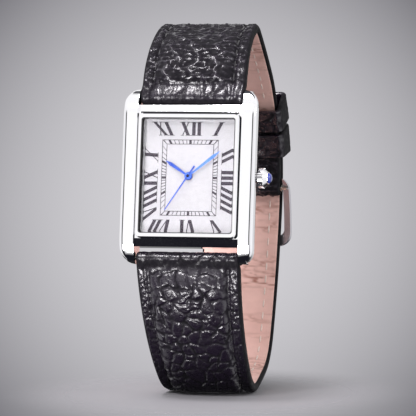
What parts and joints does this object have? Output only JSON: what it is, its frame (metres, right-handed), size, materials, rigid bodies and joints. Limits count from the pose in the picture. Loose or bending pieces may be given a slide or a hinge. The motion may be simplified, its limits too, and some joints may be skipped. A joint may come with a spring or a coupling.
{
  "type": "rectangular wristwatch",
  "caption": "Rectangular wristwatch with polished side rails, Roman dial, fluted crown and a black padded leather strap closed by a tang buckle.",
  "frame": {"origin": "centre of the case back's outer face", "axes": "+Y out of the case back towards the wrist, so the dial faces -Y; +Z towards twelve o'clock; +X towards the crown at three o'clock"},
  "size_m": [0.029, 0.0497, 0.0727],
  "materials": {
    "polished_steel": "polished",
    "case_back_steel": "brushed",
    "crystal_glass": "polished",
    "gasket_rubber": "matte",
    "dial_enamel": "satin",
    "hand_blue": "gloss",
    "cabochon_blue": "gloss",
    "strap_black": "grained",
    "strap_lining": "smooth",
    "strap_filler": "matte",
    "movement_brass": "satin",
    "movement_steel": "satin",
    "circuit_green": "satin",
    "coil_copper": "satin",
    "battery_steel": "satin",
    "holder_plastic": "matte"
  },
  "bodies": {
    "case": {"battery": "battery_steel", "battery_clip": "movement_steel", "bezel": "polished_steel", "buckle_bar_spring": "movement_steel", "buckle_spring_bar": "movement_steel", "case_back": "case_back_steel", "case_back_gasket": "gasket_rubber", "case_back_screws": "case_back_steel", "case_body": "polished_steel", "circuit_board": "circuit_green", "coil": "coil_copper", "crown_tube": "case_back_steel", "crystal": "crystal_glass", "crystal_gasket": "gasket_rubber", "dial": "dial_enamel", "fixed_keeper": "strap_black", "lower_bar_spring": "movement_steel", "lower_spring_bar": "movement_steel", "lower_strap_filler": "strap_filler", "lower_strap_leather": "strap_black", "lower_strap_lining": "strap_lining", "mainplate": "movement_brass", "movement_holder": "holder_plastic", "quartz_resonator": "movement_steel", "stator": "movement_steel", "train_bridge": "movement_brass", "upper_bar_spring": "movement_steel", "upper_spring_bar": "movement_steel", "upper_strap_filler": "strap_filler", "upper_strap_leather": "strap_black", "upper_strap_lining": "strap_lining"},
    "seconds_set": {"seconds_wheel": "movement_brass", "seconds_hand": "hand_blue"},
    "minutes_set": {"centre_wheel": "movement_brass", "minute_hand": "hand_blue"},
    "hours_set": {"hour_wheel": "movement_brass", "hour_hand": "hand_blue"},
    "third_wheel": {"third_wheel": "movement_brass"},
    "intermediate_wheel": {"intermediate_wheel": "movement_brass"},
    "rotor": {"rotor": "movement_steel"},
    "minute_wheel": {"minute_wheel": "movement_brass"},
    "setting_wheel": {"setting_wheel": "movement_brass"},
    "sliding_pinion": {"sliding_pinion": "movement_steel"},
    "crown": {"crown": "polished_steel", "crown_cabochon": "cabochon_blue", "crown_gasket": "gasket_rubber", "stem": "movement_steel"},
    "setting_lever": {"setting_lever": "movement_steel"},
    "buckle_frame": {"buckle_frame": "polished_steel"},
    "buckle_tang": {"buckle_tang": "polished_steel"},
    "free_keeper": {"free_keeper": "strap_black"},
    "upper_pin_left": {"upper_bar_pin_left": "movement_steel"},
    "upper_pin_right": {"upper_bar_pin_right": "movement_steel"},
    "lower_pin_left": {"lower_bar_pin_left": "movement_steel"},
    "lower_pin_right": {"lower_bar_pin_right": "movement_steel"},
    "buckle_pin_left": {"buckle_bar_pin_left": "movement_steel"},
    "buckle_pin_right": {"buckle_bar_pin_right": "movement_steel"}
  },
  "joints": [
    {"name": "seconds_turn", "type": "hinge", "parent": "case", "child": "seconds_set", "pos_m": [0, -0.004, 0], "axis": [0, 1, 0], "continuous": true},
    {"name": "minutes_turn", "type": "hinge", "parent": "case", "child": "minutes_set", "pos_m": [0, -0.004, 0], "axis": [0, 1, 0], "continuous": true},
    {"name": "hours_turn", "type": "hinge", "parent": "case", "child": "hours_set", "pos_m": [0, -0.004, 0], "axis": [0, 1, 0], "continuous": true},
    {"name": "third_wheel_turn", "type": "hinge", "parent": "case", "child": "third_wheel", "pos_m": [-0.00272, -0.004, -0.00099], "axis": [0, 1, 0], "continuous": true},
    {"name": "intermediate_wheel_turn", "type": "hinge", "parent": "case", "child": "intermediate_wheel", "pos_m": [0.00149, -0.004, -0.00258], "axis": [0, 1, 0], "continuous": true},
    {"name": "rotor_turn", "type": "hinge", "parent": "case", "child": "rotor", "pos_m": [0.00213, -0.004, -0.00368], "axis": [0, 1, 0], "continuous": true},
    {"name": "minute_wheel_turn", "type": "hinge", "parent": "case", "child": "minute_wheel", "pos_m": [0.0017, -0.004, 0], "axis": [0, 1, 0], "continuous": true},
    {"name": "setting_wheel_turn", "type": "hinge", "parent": "case", "child": "setting_wheel", "pos_m": [0.00383, -0.004, 0], "axis": [0, 1, 0], "continuous": true},
    {"name": "crown_turn", "type": "hinge", "parent": "case", "child": "sliding_pinion", "pos_m": [0.013, -0.00295, 0], "axis": [1, 0, 0], "continuous": true},
    {"name": "crown_pull", "type": "slide", "parent": "sliding_pinion", "child": "crown", "axis": [1, 0, 0], "range_m": [0, 0.0005]},
    {"name": "setting_lever_turn", "type": "hinge", "parent": "case", "child": "setting_lever", "pos_m": [0.0065, -0.00222, -0.004], "axis": [0, 1, 0], "range_deg": [0, 7.5]},
    {"name": "buckle_frame_tilt", "type": "hinge", "parent": "case", "child": "buckle_frame", "pos_m": [0, 0.03713, 0.00196], "axis": [1, 0, 0], "range_deg": [-1, 0]},
    {"name": "buckle_tang_tilt", "type": "hinge", "parent": "case", "child": "buckle_tang", "pos_m": [0, 0.03713, 0.00196], "axis": [1, 0, 0], "range_deg": [0, 3]},
    {"name": "free_keeper_slide", "type": "hinge", "parent": "case", "child": "free_keeper", "pos_m": [0, 0.01088, 0.00031], "axis": [1, 0, 0], "range_deg": [-1.6, 12]},
    {"name": "upper_pin_left_press", "type": "slide", "parent": "case", "child": "upper_pin_left", "axis": [1, 0, 0], "range_m": [0, 0.00075], "stiffness_N_per_m": 200, "springref_m": -0.001, "deforming": ["upper_bar_spring"]},
    {"name": "upper_pin_right_press", "type": "slide", "parent": "case", "child": "upper_pin_right", "axis": [-1, 0, 0], "range_m": [0, 0.00075], "stiffness_N_per_m": 200, "springref_m": -0.001, "deforming": ["upper_bar_spring"]},
    {"name": "lower_pin_left_press", "type": "slide", "parent": "case", "child": "lower_pin_left", "axis": [1, 0, 0], "range_m": [0, 0.00075], "stiffness_N_per_m": 200, "springref_m": -0.001, "deforming": ["lower_bar_spring"]},
    {"name": "lower_pin_right_press", "type": "slide", "parent": "case", "child": "lower_pin_right", "axis": [-1, 0, 0], "range_m": [0, 0.00075], "stiffness_N_per_m": 200, "springref_m": -0.001, "deforming": ["lower_bar_spring"]},
    {"name": "buckle_pin_left_press", "type": "slide", "parent": "case", "child": "buckle_pin_left", "axis": [1, 0, 0], "range_m": [0, 0.00075], "stiffness_N_per_m": 200, "springref_m": -0.001, "deforming": ["buckle_bar_spring"]},
    {"name": "buckle_pin_right_press", "type": "slide", "parent": "case", "child": "buckle_pin_right", "axis": [-1, 0, 0], "range_m": [0, 0.00075], "stiffness_N_per_m": 200, "springref_m": -0.001, "deforming": ["buckle_bar_spring"]}
  ],
  "couplings": [
    {"joint": "minutes_turn", "follows": "seconds_turn", "ratio": 0.016667},
    {"joint": "hours_turn", "follows": "seconds_turn", "ratio": 0.0013889},
    {"joint": "third_wheel_turn", "follows": "seconds_turn", "ratio": -0.13333},
    {"joint": "intermediate_wheel_turn", "follows": "seconds_turn", "ratio": -7.5},
    {"joint": "rotor_turn", "follows": "seconds_turn", "ratio": 30},
    {"joint": "minute_wheel_turn", "follows": "seconds_turn", "ratio": -0.0055556},
    {"joint": "setting_wheel_turn", "follows": "seconds_turn", "ratio": 0.0083333},
    {"joint": "setting_lever_turn", "follows": "crown_pull", "rad_per_m": 250}
  ]
}
